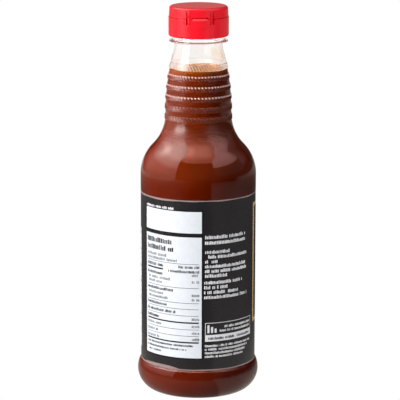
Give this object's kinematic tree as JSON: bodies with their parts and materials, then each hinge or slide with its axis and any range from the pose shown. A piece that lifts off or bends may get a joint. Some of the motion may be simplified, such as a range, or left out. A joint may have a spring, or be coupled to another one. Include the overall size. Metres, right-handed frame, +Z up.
{
  "type": "barbecue sauce bottle",
  "caption": "Clear plastic sauce bottle with a rope-banded neck, a wrap-round label, dark red sauce and a red flip-top cap.",
  "frame": {"origin": "centre of the ring that the bottle stands on", "axes": "+Z up along the bottle's axis, -Y towards the back, where the cap's hinge is"},
  "size_m": [0.0698, 0.0698, 0.2234],
  "materials": {
    "clear_plastic": "clear blown plastic, glossy",
    "sauce": "thick dark red-brown sauce, wet",
    "label_film": "charcoal printed film, satin",
    "cap_plastic": "red moulded plastic, semi-gloss"
  },
  "bodies": {
    "bottle": {"bottle": "clear_plastic", "sauce": "sauce", "label": "label_film", "cap_base": "cap_plastic", "hinge_strap": "cap_plastic", "hinge_web_left": "cap_plastic", "hinge_web_right": "cap_plastic"},
    "flip_lid": {"cap_lid": "cap_plastic"}
  },
  "joints": [
    {"name": "lid_hinge", "type": "hinge", "parent": "bottle", "child": "flip_lid", "pos_m": [0.00097, -0.01737, 0.217], "axis": [0.9984, 0.0558, 0], "range_deg": [0, 165], "deforming": ["hinge_strap", "hinge_web_left", "hinge_web_right"]}
  ]
}
